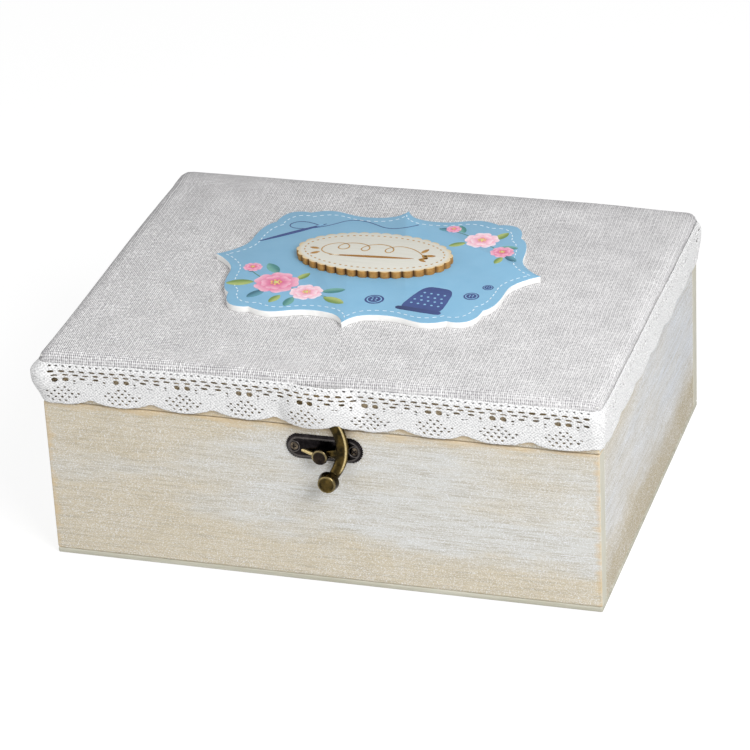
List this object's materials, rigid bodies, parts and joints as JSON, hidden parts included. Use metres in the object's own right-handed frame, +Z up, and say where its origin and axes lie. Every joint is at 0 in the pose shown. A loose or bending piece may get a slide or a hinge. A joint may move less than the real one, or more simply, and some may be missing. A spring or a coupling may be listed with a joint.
{
  "type": "sewing box",
  "caption": "Hinged wooden sewing box with a padded linen lid edged in scalloped lace, a bracket-shaped plaque with a scalloped oval tag, inner dividers and a swing-hook latch.",
  "frame": {"origin": "middle of the underside of the bottom panel", "axes": "+X to the right along the front, +Y to the back, +Z up"},
  "size_m": [0.2436, 0.2017, 0.1034],
  "materials": {
    "limed_wood": "limed and sanded",
    "plywood": "raw plywood",
    "wadding": "soft wadding",
    "linen": "plain weave linen",
    "cotton_lace": "cotton lace",
    "printed_board": "painted satin",
    "cut_plywood": "laser-cut plywood",
    "antique_brass": "antiqued"
  },
  "bodies": {
    "base": {"bottom_panel": "plywood", "front_panel": "limed_wood", "back_panel": "limed_wood", "left_panel": "limed_wood", "right_panel": "limed_wood", "long_divider": "plywood", "left_cross_divider": "plywood", "right_cross_divider": "plywood", "left_base_leaf": "antique_brass", "right_base_leaf": "antique_brass", "left_hinge_pin": "antique_brass", "right_hinge_pin": "antique_brass", "catch_plate": "antique_brass", "catch_tongue": "antique_brass", "catch_screw_left": "antique_brass", "catch_screw_right": "antique_brass", "left_base_hinge_screw_outer": "antique_brass", "left_base_hinge_screw_inner": "antique_brass", "right_base_hinge_screw_outer": "antique_brass", "right_base_hinge_screw_inner": "antique_brass"},
    "lid": {"lid_front_rail": "limed_wood", "lid_back_rail": "limed_wood", "lid_left_rail": "limed_wood", "lid_right_rail": "limed_wood", "lid_top_panel": "plywood", "wadding_pad": "wadding", "linen_cover": "linen", "lace_front": "cotton_lace", "lace_back": "cotton_lace", "lace_left": "cotton_lace", "lace_right": "cotton_lace", "plaque": "printed_board", "oval_tag": "cut_plywood", "left_lid_leaf": "antique_brass", "right_lid_leaf": "antique_brass", "hook_plate": "antique_brass", "hook_screw_left": "antique_brass", "hook_screw_right": "antique_brass", "hook_rivet": "antique_brass", "left_lid_hinge_screw_outer": "antique_brass", "left_lid_hinge_screw_inner": "antique_brass", "right_lid_hinge_screw_outer": "antique_brass", "right_lid_hinge_screw_inner": "antique_brass"},
    "hook": {"swing_hook": "antique_brass"}
  },
  "joints": [
    {"name": "lid_hinge", "type": "hinge", "parent": "base", "child": "lid", "pos_m": [0, 0.0958, 0.0734], "axis": [-1, 0, 0], "range_deg": [0, 180]},
    {"name": "hook_swing", "type": "hinge", "parent": "lid", "child": "hook", "pos_m": [0.0037, -0.096, 0.0825], "axis": [0, -1, 0], "range_deg": [0, 60], "deforming": ["lace_front"]}
  ]
}
